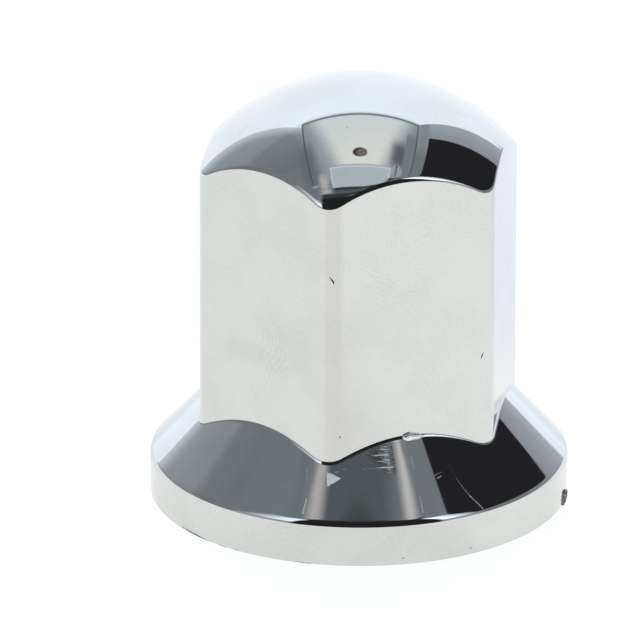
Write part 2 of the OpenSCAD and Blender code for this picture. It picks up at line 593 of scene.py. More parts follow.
@dataclass(frozen=True)
class ChromePlate:
    """Bright chrome plating on moulded plastic, with the finger prints, scratches and nicks of handling, and
    dark marks along the band's lowest edge, where it meets the floor.

    The streaks run between the two bearings of streak_reach, in degrees. Their lower limit drops by
    streak_slope for each radian of bearing, and would be at streak_foot where the bearing is 0. patch_size is
    a share of print_size. Levels and wear are the two values of a noise between which it takes effect.
    """

    sizes: "CoverSizes"
    colour: Colour = (0.715, 0.715, 0.71)
    smudged: Colour = (0.615, 0.619, 0.6)
    scuffed: Colour = (0.97, 0.965, 0.96)
    chipped: Colour = (0.02, 0.019, 0.022)
    roughness: float = 0.03
    marked_roughness: float = 0.35
    scuff_depth: float = 0.03 * MM
    scuff_grain: float = 0.3 * MM
    scuff_lean: float = 0.32
    edge_grain: float = 0.25 * MM
    edge_wander: Pair = (0.6, 0.8)
    square_edge: Pair = (-0.02, 0.04)
    streak_height: float = 0.14 * MM
    streaks_a_radian: float = 4.0
    streak_reach: Pair = (-111.0, -97.0)
    streak_end: float = 0.5
    streak_slope: float = 8.0 * MM
    streak_foot: float = -4.6 * MM
    streak_foot_blur: float = 3.0 * MM
    streak_top: float = 13.3 * MM
    streak_top_blur: float = 0.4 * MM
    streak_levels: Pair = (0.41, 0.84)
    streak_strength: float = 0.3
    streak_ground: float = 0.03
    print_size: float = 9.0 * MM
    patch_size: float = 0.8
    patch_levels: Pair = (0.4, 0.62)
    patch_grease: float = 0.2
    patch_ridges: float = 0.11
    patch_wear: Pair = (0.38, 0.6)
    haze_size: float = 0.45 * MM
    haze_levels: Pair = (0.3, 0.7)
    haze_strength: float = 0.275
    haze_wear: Pair = (0.3, 0.6)
    ridge_gap: float = 0.55 * MM
    ridge_bend: float = 8.0 * MM
    ridge_waver: float = 1.5
    print_edge: Pair = (1.25, 0.5)
    ripple_size: float = 3.0 * MM
    ripple_depth: float = 0.0006 * MM

    def build(self) -> bpy.types.Material:
        """Makes the material.

        Returns:
            The plating's material.
        """
        coat = Coat("bright_chrome")
        marks = [*skirt_marks(), *body_marks()]
        scuff = self._cover(coat, [mark for mark in marks if mark.damage is Damage.SCUFF])
        scuff = scuff.apply("MAXIMUM", self._streaks(coat))
        chip = self._cover(coat, [mark for mark in marks if mark.damage is Damage.CHIP])
        colour = mix_colours(coat.tree, self._smudges(coat), self.colour, self.smudged)
        colour = mix_colours(coat.tree, scuff, colour, self.scuffed)
        colour = mix_colours(coat.tree, chip, colour, self.chipped)
        smooth = coat.bump(coat.noise(self.ripple_size), self.ripple_depth)
        rough = coat.bump(coat.noise(self.scuff_grain), scuff * self.scuff_depth, smooth)
        upwards = coat.node("ShaderNodeVectorTransform", {"Vector": (0.0, 0.0, 1.0)},
                            vector_type="VECTOR", convert_from="OBJECT", convert_to="WORLD")
        lean = coat.scaled(upwards.outputs["Vector"], scuff * self.scuff_lean)
        leaning = coat.vector("ADD", rough, lean)
        spoiled = scuff.apply("MAXIMUM", chip)
        return coat.finish({
            "Base Color": colour, "Metallic": 1.0 - chip, "Normal": coat.vector("NORMALIZE", leaning),
            "Roughness": spoiled * self.marked_roughness + self.roughness})

    def _cover(self, coat: Coat, marks: list[Mark]) -> Field:
        """How fully the marks cover the plating.

        Args:
            coat: The material.
            marks: The marks.

        Returns:
            The strongest mark at each place, from 0 to 1.
        """
        least, wander = self.edge_wander
        raggedness = coat.noise(self.edge_grain, 3.0) * wander + least
        total: Number = 0.0
        for mark in marks:
            start = self.sizes.spot(mark.start)
            run = self.sizes.spot(mark.end) - start
            from_start = coat.vector("SUBTRACT", coat.place, start)
            along = coat.measure("DOT_PRODUCT", from_start, run / run.length_squared)
            held = hold(along)
            gap = coat.measure("DISTANCE", from_start, coat.scaled(run, held))
            first, last = (width * MM for width in mark.widths)
            width = held * (last - first) + first
            edge = (gap - width * raggedness) / (mark.blur * MM)
            cover = soft_step(edge, 0.5, -0.5) * mark.strength
            if mark.square:
                cover = cover * soft_step(along, *self.square_edge)
            if mark.fade:
                cover = cover * (1.0 - held * mark.fade)
            total = cover.apply("MAXIMUM", total)
        return total

    def _streaks(self, coat: Coat) -> Field:
        """The fine level streaks near the top of the skirt, which start sharply and fade to the left.

        Args:
            coat: The material.

        Returns:
            How strong the streaks are at each place, from 0 to 1.
        """
        x, y, z = axes_of(coat.tree, coat.place)
        bearing = y.apply("ARCTAN2", x)
        rows = coat.node("ShaderNodeCombineXYZ", {
            "X": bearing * self.streaks_a_radian, "Y": z / self.streak_height}).outputs["Vector"]
        grain = soft_step(coat.noise(1.0, place=rows), *self.streak_levels)
        left, right = (math.radians(degrees) for degrees in self.streak_reach)
        end = math.radians(self.streak_end)
        reach = soft_step(bearing, left, right - 2 * end) * soft_step(bearing, right, right - end)
        lowered = z + bearing * self.streak_slope
        level = soft_step(lowered, self.streak_foot, self.streak_foot + self.streak_foot_blur)
        level = level * soft_step(z, self.streak_top, self.streak_top - self.streak_top_blur)
        return (grain * self.streak_strength + self.streak_ground) * reach * level

    def _smudges(self, coat: Coat) -> Field:
        """Faint greasy smudges with the fine ridges of a finger, in patches, and the clear prints.

        Args:
            coat: The material.

        Returns:
            How strong the smudge is at each place, from 0 to 1.
        """
        bend = coat.node("ShaderNodeTexNoise", {
            "Vector": coat.place, "Scale": 1 / self.print_size, "Detail": 1.0}).outputs["Color"]
        patch_size = self.patch_size * self.print_size
        bent = coat.vector("ADD", coat.place, coat.scaled(bend, patch_size))
        # A wave texture of scale pi / 10 has ridges about one unit apart.
        ridges = Field(coat.tree, coat.node("ShaderNodeTexWave", {
            "Vector": bent, "Scale": math.pi / 10 / self.ridge_gap, "Distortion": self.ridge_waver,
            "Detail": 1.0}, bands_direction="DIAGONAL").outputs["Fac"])
        patch = coat.noise(patch_size)
        haze = coat.noise(self.haze_size, 3.0, 0.7)
        faint = soft_step(patch, *self.patch_levels) * (ridges * self.patch_ridges + self.patch_grease)
        total = faint + soft_step(haze, *self.haze_levels) * self.haze_strength
        swing = coat.vector("MULTIPLY_ADD", bend, (self.ridge_bend,) * 3, (-self.ridge_bend / 2,) * 3)
        swung = coat.vector("ADD", coat.place, swing)
        worn = soft_step(patch, *self.patch_wear) * 0.5 + soft_step(haze, *self.haze_wear) * 0.5
        for mark in finger_prints():
            total = total + self._print(coat, swung, worn, mark)
        return total

    def _print(self, coat: Coat, swung: bpy.types.NodeSocket, worn: Field, mark: FingerPrint) -> Field:
        """How strongly one finger print dulls the plating.

        Args:
            coat: The material.
            swung: The place being shaded, moved a little so that the ridges waver.
            worn: How much of the ridges is left there.
            mark: The print.

        Returns:
            Its strength at each place.
        """
        across, up = (half * MM for half in mark.half)
        off = coat.vector("SUBTRACT", coat.place, self.sizes.spot(mark.middle))
        reach = coat.measure("LENGTH", coat.vector("MULTIPLY", off, (1 / across, 1 / across, 1 / up)))
        inside = soft_step(reach, *self.print_edge)
        if not mark.ridges:
            return inside * mark.haze
        ring = coat.measure("DISTANCE", swung, self.sizes.spot(mark.core))
        ridge = sine(ring * (2 * math.pi / self.ridge_gap)) * 0.5 + 0.5
        return inside * (ridge * worn * mark.ridges + mark.haze)


@dataclass(frozen=True)
class DullPlate:
    """The thin, hazy plating inside the socket, where little of it reaches."""

    colour: Colour = (0.56, 0.565, 0.57)
    patchy: Colour = (0.44, 0.44, 0.45)
    roughness: float = 0.24
    haze_roughness: float = 0.2
    haze_size: float = 4.0 * MM

    def build(self) -> bpy.types.Material:
        """Makes the material.

        Returns:
            The inner plating's material.
        """
        coat = Coat("dull_plate")
        haze = coat.noise(self.haze_size, 4.0)
        colour = mix_colours(coat.tree, haze, self.colour, self.patchy)
        roughness = haze * self.haze_roughness + self.roughness
        return coat.finish({"Base Color": colour, "Metallic": 1.0, "Roughness": roughness})


@dataclass(frozen=True)
class RunPlate:
    """Thick, slightly rough plating where it has run into a bead."""

    colour: Colour = (0.97, 0.97, 0.965)
    roughness: float = 0.36
    grain_size: float = 0.6 * MM
    grain_depth: float = 0.008 * MM

    def build(self) -> bpy.types.Material:
        """Makes the material.

        Returns:
            The bead's material.
        """
        coat = Coat("run_plate")
        normal = coat.bump(coat.noise(self.grain_size, 3.0), self.grain_depth)
        return coat.finish({
            "Base Color": self.colour, "Metallic": 1.0, "Roughness": self.roughness, "Normal": normal})


@dataclass(frozen=True)
class BrokenPlastic:
    """The torn end of the gate stub, where bare plastic shows between scraps of plating."""

    bare: Colour = (0.4, 0.4, 0.4)
    torn: Colour = (0.92, 0.92, 0.91)
    roughness: float = 0.55
    scrap_size: float = 0.35 * MM
    scrap_levels: Pair = (0.38, 0.56)

    def build(self) -> bpy.types.Material:
        """Makes the material.

        Returns:
            The torn plastic's material.
        """
        coat = Coat("broken_plastic")
        scraps = soft_step(coat.noise(self.scrap_size, 3.0), *self.scrap_levels)
        colour = mix_colours(coat.tree, scraps, self.bare, self.torn)
        return coat.finish({"Base Color": colour, "Roughness": self.roughness})


# --------------------------------------------------------------------------------------------------
# The cover
# --------------------------------------------------------------------------------------------------


@dataclass(frozen=True)
class CoverSizes:
    """Sizes of the cover, in metres and radians, with the same names as in its construction."""

    flange_radius: float
    height: float
    hex_apothem: float = 19.0 * MM
    socket_apothem: float = 16.8 * MM
    corner_radius: float = 3.6 * MM
    socket_corner_radius: float = 0.8 * MM
    wall: float = 2.2 * MM
    band_wall: float = 2.0 * MM
    draft: float = math.radians(0.5)
    dome_radius: float = 26.6 * MM
    crown_rounding: float = 1.1 * MM
    foot_rounding: float = 0.8 * MM
    band_height: float = 5.5 * MM
    skirt_slope: float = math.radians(45.7)
    shoulder_rounding: float = 1.4 * MM
    hem_rounding: float = 0.2 * MM
    mouth_rounding: float = 0.3 * MM

    @property
    def dome_centre(self) -> float:
        """Height of the dome's centre above the rim."""
        return self.height - self.dome_radius

    def outside(self, bearing: float, height: float) -> Vector:
        """Finds a place on the outer surface.

        Args:
            bearing: Direction about the axis, in degrees.
            height: Height above the rim.

        Returns:
            The place.
        """
        angle = math.radians(bearing)
        apothem = self.hex_apothem - (height - self.dome_centre) * math.tan(self.draft)
        column = apothem / math.cos(math.fmod(abs(angle), SECTOR) - SECTOR / 2)
        blunt = apothem / math.cos(SECTOR / 2) - self.corner_radius * (1 / math.cos(SECTOR / 2) - 1)
        skirt = self.flange_radius - (height - self.band_height) / math.tan(self.skirt_slope)
        radius = min(self.flange_radius, max(min(column, blunt), skirt))
        rounding = self.shoulder_rounding
        rise = height - self.band_height + rounding * math.tan(math.pi / 4 - self.skirt_slope / 2)
        if 0 < rise < rounding * math.cos(self.skirt_slope):
            radius = self.flange_radius - rounding + math.sqrt(rounding ** 2 - rise ** 2)
        if height > self.dome_centre:
            radius = min(radius, math.sqrt(self.dome_radius ** 2 - (height - self.dome_centre) ** 2))
        return Vector((radius * math.cos(angle), radius * math.sin(angle), height))

    def spot(self, place: Pair) -> Vector:
        """The place on the outer surface at a bearing in degrees and a height in millimetres."""
        return self.outside(place[0], place[1] * MM)

    @classmethod
    def from_box(cls, low: Vector, high: Vector) -> "CoverSizes":
        """Takes the overall sizes from the construction's box.

        Args:
            low: The box's lowest corner.
            high: The box's highest corner.

        Returns:
            The cover's sizes.
        """
        return cls(flange_radius=(high.x - low.x) / 2, height=high.z - low.z)


@dataclass(frozen=True)
class Strip:
    """One strip of the shell's section, which sweeps round the axis.

    radius and height give the section's point for each column and row, and rows is how many faces lie along
    the strip.
    """

    name: str
    rows: int
    radius: Field
    height: Field


class Section:
    """The shell's section and how it turns round the axis, as fields of the shell's node tree."""

    def __init__(self, recipe: Recipe, sizes: CoverSizes, corner_columns: int, flat_columns: int) -> None:
        """Adds one named input for each of the cover's sizes, and works out each grid point's place.

        Args:
            recipe: The shell's node tree.
            sizes: The cover's sizes.
            corner_columns: Faces round each of the hexagon's rounded corners.
            flat_columns: Faces across each of its flats.
        """
        self.recipe = recipe
        self.corner_share = corner_columns / (corner_columns + flat_columns)
        self.columns = SIDES * (corner_columns + flat_columns)
        self.flange_r = recipe.number("Flange Radius", sizes.flange_radius)
        self.dome_r = recipe.number("Dome Radius", sizes.dome_radius)
        self.dome_z = recipe.number("Dome Centre Height", sizes.dome_centre)
        self.apothem = recipe.number("Hexagon Apothem", sizes.hex_apothem)
        self.corner_r = recipe.number("Corner Radius", sizes.corner_radius)
        self.socket = recipe.number("Socket Apothem", sizes.socket_apothem)
        self.socket_corner_r = recipe.number("Socket Corner Radius", sizes.socket_corner_radius)
        self.wall = recipe.number("Wall", sizes.wall)
        self.band_wall = recipe.number("Band Wall", sizes.band_wall)
        self.lean = recipe.number("Draft Angle", sizes.draft)
        self.crown = recipe.number("Crown Rounding", sizes.crown_rounding)
        self.foot = recipe.number("Foot Rounding", sizes.foot_rounding)
        self.band_h = recipe.number("Band Height", sizes.band_height)
        self.slope = recipe.number("Skirt Slope", sizes.skirt_slope)
        self.shoulder = recipe.number("Shoulder Rounding", sizes.shoulder_rounding)
        self.hem = recipe.number("Hem Rounding", sizes.hem_rounding)
        self.mouth = recipe.number("Mouth Rounding", sizes.mouth_rounding)
        position = recipe.node("GeometryNodeInputPosition", {}).outputs["Position"]
        across, along, _ = axes_of(recipe.tree, position)
        self.along = 0.5 - along
        self.eased = 0.5 - 0.5 * cosine(self.along * math.pi)
        self.angle = self._column_angle(across + 0.5)
        from_corner = (self.angle + SECTOR / 2) / SECTOR
        self.off_corner = (from_corner.apply("FRACT") - 0.5).apply("ABSOLUTE") * SECTOR

    def _column_angle(self, share: Field) -> Field:
        """Spreads the columns round the axis, closer together on the hexagon's rounded corners.

        Args:
            share: How far round the grid a point is, from 0 to 1.

        Returns:
            The point's direction round the axis, in radians.
        """
        turn = share * float(SIDES)
        sector = turn.apply("FLOOR")
        place = turn - sector
        half_corner = self._corner_reach(self.apothem, self.corner_r)
        on_corner = half_corner * (place * (2 / self.corner_share) - 1.0)
        flat_place = (place - self.corner_share) / (1 - self.corner_share)
        flat_eased = 0.5 - 0.5 * cosine(flat_place * math.pi)
        on_flat = half_corner + (SECTOR - 2.0 * half_corner) * flat_eased
        return sector * SECTOR + choose(place < self.corner_share, on_corner, on_flat)

    def _corner_reach(self, apothem: Field, rounding: Field) -> Field:
        """Half of the angle that a rounded corner spans at the axis."""
        centre = (apothem - rounding) / math.cos(SECTOR / 2)
        return (rounding * 0.5).apply("ARCTAN2", centre + rounding * math.cos(SECTOR / 2))

    def _column_radius(self, apothem: Field, rounding: Field, height: Field) -> Field:
        """Distance from the axis to the leaning hexagonal wall, for each column.

        Args:
            apothem: The wall's apothem level with the dome's centre.
            rounding: The radius of its upright corners.
            height: Height above the rim.

        Returns:
            The wall's distance from the axis at that height.
        """
        here = apothem - (height - self.dome_z) * self.lean.apply("TANGENT")
        centre = (here - rounding) / math.cos(SECTOR / 2)
        side = centre * sine(self.off_corner)
        corner = centre * cosine(self.off_corner) + root(rounding * rounding - side * side)
        flat = here / cosine(SECTOR / 2 - self.off_corner)
        return choose(self.off_corner < self._corner_reach(here, rounding), corner, flat)

    def _skirt_height(self, radius: Field, inset: Number) -> Field:
        """Height of the skirt's outer face, or of a face set in from it, at a distance from the axis."""
        rise = (self.flange_r - radius) * sine(self.slope) - inset
        return self.band_h + rise / cosine(self.slope)

    def _arc(self, name: str, rows: int, centre: tuple[Number, Number], radius: Number,
             angles: tuple[Number, Number]) -> Strip:
        """A strip along an arc of the section.

        Args:
            name: The strip's name.
            rows: Faces along it.
            centre: The arc's centre, as distance from the axis and height.
            radius: The arc's radius.
            angles: Its first and last direction from the centre, in radians.

        Returns:
            The strip.
        """
        angle = angles[0] + self.along * (angles[1] - angles[0])
        return Strip(name, rows, cosine(angle) * radius + centre[0], sine(angle) * radius + centre[1])

    def outside(self) -> list[Strip]:
        """The outer strips, from the top of the dome down to the foot of the band.

        The flats lean, so the heights where they end start from a rough guess and settle in a few rounds.

        Returns:
            The strips, in order.
        """
        quarter = math.pi / 2
        crown_z = self.dome_z + self.dome_r * 0.7
        for _ in range(SETTLING_ROUNDS):
            crown_r = self._column_radius(self.apothem, self.corner_r, crown_z) - self.crown
            inner = self.dome_r - self.crown
            crown_z = self.dome_z + root(inner * inner - crown_r * crown_r)
        dome_end = (crown_z - self.dome_z).apply("ARCTAN2", crown_r)
        foot_z = self.band_h + self.wall * 4.0
        for _ in range(SETTLING_ROUNDS):
            foot_r = self._column_radius(self.apothem, self.corner_r, foot_z) + self.foot
            foot_z = self._skirt_height(foot_r, 0.0) + self.foot / cosine(self.slope)
        skirt_start = foot_r - self.foot * sine(self.slope)
        shoulder_r = self.flange_r - self.shoulder
        skirt_end = shoulder_r + self.shoulder * sine(self.slope)
        shoulder_z = self.band_h - self.shoulder * ((quarter - self.slope) * 0.5).apply("TANGENT")
        wall_z = crown_z + (foot_z - crown_z) * self.eased
        skirt_r = skirt_start + (skirt_end - skirt_start) * self.eased
        band_z = shoulder_z + (self.hem - shoulder_z) * self.eased
        return [
            self._arc("dome", 44, (0.0, self.dome_z), self.dome_r, (quarter, dome_end)),
            self._arc("crown", 10, (crown_r, crown_z), self.crown, (dome_end, 0.0)),
            Strip("flats", 26, self._column_radius(self.apothem, self.corner_r, wall_z), wall_z),
            self._arc("foot", 8, (foot_r, foot_z), self.foot, (math.pi, 3 * quarter - self.slope)),
            Strip("skirt", 12, skirt_r, self._skirt_height(skirt_r, 0.0)),
            self._arc("shoulder", 12, (shoulder_r, shoulder_z), self.shoulder, (quarter - self.slope, 0.0)),
            Strip("band", 8, self.flange_r + 0.0 * band_z, band_z),
            self._arc("hem", 5, (self.flange_r - self.hem, self.hem), self.hem, (0.0, -quarter)),
        ]

    def inside(self) -> list[Strip]:
        """The inner strips, from the rim's underside up to the top of the inner dome.

        Returns:
            The strips, in order.
        """
        quarter = math.pi / 2
        mouth_r = self.flange_r - self.band_wall + self.mouth
        inner_r = self.flange_r - self.band_wall
        room_top = self._skirt_height(inner_r, self.wall)
        socket_r = self.socket + 0.0 * self.along
        for _ in range(SETTLING_ROUNDS):
            socket_z = self._skirt_height(socket_r, self.wall)
            socket_r = self._column_radius(self.socket, self.socket_corner_r, socket_z)
        inner_dome = self.dome_r - self.wall
        top_z = self.dome_z + inner_dome * 0.7
        for _ in range(SETTLING_ROUNDS):
            top_r = self._column_radius(self.socket, self.socket_corner_r, top_z)
            top_z = self.dome_z + root(inner_dome * inner_dome - top_r * top_r)
        rim_r = self.flange_r - self.hem + (mouth_r - self.flange_r + self.hem) * self.eased
        band_z = self.mouth + (room_top - self.mouth) * self.eased
        skirt_r = inner_r + (socket_r - inner_r) * self.eased
        wall_z = socket_z + (top_z - socket_z) * self.eased
        dome_start = (top_z - self.dome_z).apply("ARCTAN2", top_r)
        return [
            Strip("rim", 4, rim_r, 0.0 * rim_r),
            self._arc("mouth", 4, (mouth_r, self.mouth), self.mouth, (-quarter, -math.pi)),
            Strip("inner_band", 4, inner_r + 0.0 * band_z, band_z),
            Strip("inner_skirt", 8, skirt_r, self._skirt_height(skirt_r, self.wall)),
            Strip("socket", 10, self._column_radius(self.socket, self.socket_corner_r, wall_z), wall_z),
            self._arc("inner_dome", 18, (0.0, self.dome_z), inner_dome, (dome_start, quarter)),
        ]

    def sweep(self, strips: list[Strip]) -> bpy.types.NodeSocket:
        """Turns the strips into one welded surface.

        Args:
            strips: The section's strips, in order.

        Returns:
            The welded surface.
        """
        join = self.recipe.tree.nodes.new("GeometryNodeJoinGeometry")
        for strip in strips:
            grid = self.recipe.node("GeometryNodeMeshGrid", {
                "Size X": 1.0, "Size Y": 1.0, "Vertices X": self.columns + 1, "Vertices Y": strip.rows + 1})
            spot = self.recipe.point(
                strip.radius * cosine(self.angle), strip.radius * sine(self.angle), strip.height)
            placed = self.recipe.node("GeometryNodeSetPosition", {
                "Geometry": grid.outputs["Mesh"], "Position": spot})
            placed.label = strip.name
            self.recipe.tree.links.new(placed.outputs["Geometry"], join.inputs["Geometry"])
        weld = self.recipe.node("GeometryNodeMergeByDistance", {
            "Geometry": join.outputs["Geometry"], "Distance": WELD})
        return weld.outputs["Geometry"]

    def faces_inwards(self) -> Field:
        """Finds the inside faces, which look towards the dome's centre.

        Returns:
            1 on those faces, and 0 on the others.
        """
        tree = self.recipe.tree
        normal = axes_of(tree, self.recipe.node("GeometryNodeInputNormal", {}).outputs["Normal"])
        spot = axes_of(tree, self.recipe.node("GeometryNodeInputPosition", {}).outputs["Position"])
        outwards = normal[0] * spot[0] + normal[1] * spot[1] + normal[2] * (spot[2] - self.dome_z)
        return outwards < 0.0


@dataclass
class Shell:
    """The moulded shell: its outside from dome to rim, the rim's underside, and its inside up to the dome."""

    sizes: CoverSizes
    corner_columns: int = 14
    flat_columns: int = 34

    def build(self, outside: bpy.types.Material, inside: bpy.types.Material) -> bpy.types.Object:
        """Makes the shell's mesh.

        Args:
            outside: The material of what shows.
            inside: The material of the socket and the room under the skirt.

        Returns:
            The shell as a closed mesh.
        """
        recipe = Recipe("shell")
        section = Section(recipe, self.sizes, self.corner_columns, self.flat_columns)
        welded = section.sweep([*section.outside(), *section.inside()])
        smooth = recipe.node("GeometryNodeSetShadeSmooth", {"Geometry": welded}).outputs["Geometry"]
        recipe.finish(smooth, outside, (section.faces_inwards(), inside))
        piece = recipe.make_object("shell")
        piece.data.set_sharp_from_angle(angle=SHARP_EDGE)
        return piece


@dataclass
class GripRibs:
    """Half-round ribs up the socket's walls."""

    sizes: CoverSizes
    per_flat: int = 2
    pitch: float = 9.0 * MM
    radius: float = 0.6 * MM
    proud: float = 0.35 * MM
    low_z: float = 14.0 * MM
    high_z: float = 36.0 * MM
    segments: int = 16
    rings: int = 7

    def build(self, finish: bpy.types.Material) -> bpy.types.Object:
        """Makes all the ribs.

        Args:
            finish: Their material.

        Returns:
            The ribs, each a closed round-ended bar.
        """
        recipe = Recipe("grip_ribs")
        radius = recipe.number("Rib Radius", self.radius)
        length = recipe.number("Rib Length", self.high_z - self.low_z)
        low_z = recipe.number("Lower End Height", self.low_z)
        pitch = recipe.number("Rib Spacing", self.pitch)
        distance = recipe.number("Axis Distance", self.sizes.socket_apothem + self.radius - self.proud)
        lean = recipe.number("Draft Angle", self.sizes.draft)
        dome_z = recipe.number("Dome Centre Height", self.sizes.dome_centre)
        ball = recipe.node("GeometryNodeMeshUVSphere", {
            "Segments": self.segments, "Rings": self.rings, "Radius": radius})
        position = recipe.node("GeometryNodeInputPosition", {}).outputs["Position"]
        height = axes_of(recipe.tree, position)[2]
        stretch = recipe.point(0.0, 0.0, length * (height > 0.0))
        bar = recipe.node("GeometryNodeSetPosition", {"Geometry": ball.outputs["Mesh"], "Offset": stretch})
        index = Field(recipe.tree, recipe.node("GeometryNodeInputIndex", {}).outputs["Index"])
        flat = (index / self.per_flat).apply("FLOOR")
        side = index - flat * self.per_flat - (self.per_flat - 1) / 2
        turn = flat * SECTOR + SECTOR / 2
        out = distance - (low_z - dome_z) * lean.apply("TANGENT")
        spot = recipe.point(
            out * cosine(turn) - side * pitch * sine(turn),
            out * sine(turn) + side * pitch * cosine(turn), low_z)
        places = recipe.node("GeometryNodePoints", {"Count": SIDES * self.per_flat, "Position": spot})
        ribs = recipe.node("GeometryNodeInstanceOnPoints", {
            "Points": places.outputs["Points"], "Instance": bar.outputs["Geometry"],
            "Rotation": recipe.point(0.0, -lean, turn)})
        smooth = recipe.node("GeometryNodeSetShadeSmooth", {"Geometry": ribs.outputs["Instances"]})
        recipe.finish(smooth.outputs["Geometry"], finish)
        return recipe.make_object("grip_ribs")


@dataclass
class GateStub:
    """The ragged stub at the foot of the band, where the moulding was broken from its runner.

    top_slant and top_wave are shares of its height, swells are shares of how proud it stands at its foot, at
    its top and in waves across it, and narrowing and shift are shares of its width, from foot to top.
    """

    sizes: CoverSizes
    bearing: float = math.radians(-32.3)
    width: float = 1.6 * MM
    height: float = 1.6 * MM
    proud: float = 0.45 * MM
    root_depth: float = 0.5 * MM
    tear: float = 0.09 * MM
    top_middle: float = 0.75
    top_slant: float = 0.4
    top_wave: float = 0.08
    top_turns: float = 14.0
    swells: Point = (0.3, 0.55, 0.15)
    swell_turns: float = 11.0
    narrowing: float = 0.6
    shift: float = 0.3
    cuts: int = 7
    seed: int = 3

    def build(self, finish: bpy.types.Material) -> bpy.types.Object:
        """Makes the stub.

        Args:
            finish: Its material.

        Returns:
            The stub as a closed mesh.
        """
        mesh = bpy.data.meshes.new("gate_stub")
        shape = bmesh.new()
        bmesh.ops.create_cube(shape, size=1.0)
        bmesh.ops.subdivide_edges(shape, edges=shape.edges, cuts=self.cuts, use_grid_fill=True)
        chance = random.Random(self.seed)
        for vertex in shape.verts:
            vertex.co = self._place(vertex.co, chance)
        bmesh.ops.recalc_face_normals(shape, faces=shape.faces)
        bmesh.ops.transform(shape, matrix=Matrix.Rotation(self.bearing, 4, "Z"), verts=shape.verts)
        shape.to_mesh(mesh)
        shape.free()
        mesh.materials.append(finish)
        return link_object("gate_stub", mesh)

    def _place(self, spot: Vector, chance: random.Random) -> Vector:
        """Moves one corner of a unit cube to its place on the torn stub.

        Args:
            spot: The corner, from -0.5 to 0.5 each way.
            chance: The source of the tear's roughness.

        Returns:
            Its place, before the stub is turned to its bearing.
        """
        out, side, up = spot.x + 0.5, spot.y, spot.z + 0.5
        slant = self.top_middle + self.top_slant * side
        top = self.height * (slant + self.top_wave * math.sin(self.top_turns * side))
        foot, rise, wave = self.swells
        swell = self.proud * (foot + rise * up + wave * math.sin(self.swell_turns * side) * up)
        torn = [self.tear * chance.uniform(-1, 1) * out for _ in range(3)]
        radius = self.sizes.flange_radius - self.root_depth + (self.root_depth + swell) * out + torn[0]
        leaning = side * (1.0 - self.narrowing * up) + self.shift * up - self.shift / 2
        across = leaning * self.width + torn[1]
        height = max(0.0, up * (top + torn[2]))
        return Vector((min(radius, self.sizes.flange_radius + self.proud), across, height))


@dataclass
class FootBead:
    """The small bright bead of plating that has run into the corner at the foot of the column.

    bearing is in degrees, and half is its reach outwards, along the corner and up. bluntness below 1 flattens
    it outwards, lumps says how fast its lumps follow one another along it, up it and slanting, and taper is
    how much thinner it gets towards its far end.
    """

    sizes: CoverSizes
    bearing: float = -88.8
    height: float = 13.8 * MM
    half: Point = (0.4 * MM, 1.4 * MM, 0.5 * MM)
    bluntness: float = 0.7
    lump: float = 0.13
    lumps: Point = (4.1, 3.0, 2.0)
    lump_start: float = 0.6
    taper: float = 0.35
    subdivisions: int = 4

    def build(self, finish: bpy.types.Material) -> bpy.types.Object:
        """Makes the bead.

        Args:
            finish: Its material.

        Returns:
            The bead as a closed mesh.
        """
        mesh = bpy.data.meshes.new("foot_bead")
        shape = bmesh.new()
        bmesh.ops.create_icosphere(shape, subdivisions=self.subdivisions, radius=1.0)
        centre = self.sizes.outside(self.bearing, self.height)
        turn = Matrix.Rotation(math.radians(self.bearing), 4, "Z")
        for vertex in shape.verts:
            vertex.co = centre + turn @ self._place(vertex.co)
        shape.to_mesh(mesh)
        shape.free()
        mesh.materials.append(finish)
        mesh.shade_smooth()
        return link_object("foot_bead", mesh)

    def _place(self, spot: Vector) -> Vector:
        """Moves one corner of a ball to its place on the lumpy bead.

        Args:
            spot: The corner, on a ball of radius 1.

        Returns:
            Its place from the bead's centre, before the bead is turned to its bearing.
        """
        out, side, up = spot
        out = math.copysign(abs(out) ** self.bluntness, out)
        along, upwards, slanting = self.lumps
        wave = math.cos(upwards * up + slanting * side)
        swell = 1 + self.lump * math.sin(along * side + self.lump_start) * wave
        thin = 1 - self.taper * side
        return Vector((out * self.half[0] * swell, side * self.half[1], up * self.half[2] * swell * thin))


# --------------------------------------------------------------------------------------------------
# Studio
# --------------------------------------------------------------------------------------------------


class Place(Enum):
    """The parts of the light tent, each with its own way of giving a place on it.

    On the ceiling a place is (aside, away) over the ceiling's height, on a side wall it is (away, up) over
    the wall's distance, and on the back wall (aside, up) over its distance. ROUND is (direction, elevation)
    in degrees. Directions are the camera's own: aside is to its right, away is ahead of it, and 0 faces it.
    """

    CEILING = "ceiling"
    LEFT_WALL = "left wall"
    RIGHT_WALL = "right wall"
    BACK_WALL = "back wall"
    ROUND = "round"


class Outline(Enum):
    """Shape of a panel."""

    BOX = "box"
    OVAL = "oval"


@dataclass(frozen=True)
class Panel:
    """A soft-edged patch of light or shade inside the light tent.

    low and high are its corners and soft is half the width of its edges. A panel with an end_colour is graded
    towards it along the numbered axis, up to end_at or else its high corner. flare is how fast its two sides
    draw apart along the second axis.
    """

    name: str
    place: Place
    low: Pair
    high: Pair
    colour: Colour
    soft: Pair = (0.005, 0.005)
    end_colour: Optional[Colour] = None
    graded: int = 0
    end_at: Optional[float] = None
    flare: float = 0.0
    outline: Outline = Outline.BOX


def grey(level: float) -> Colour:
    """The cool grey of the tent's cloth, at one brightness."""
    return (level * 0.91, level * 1.0, level * 1.09)


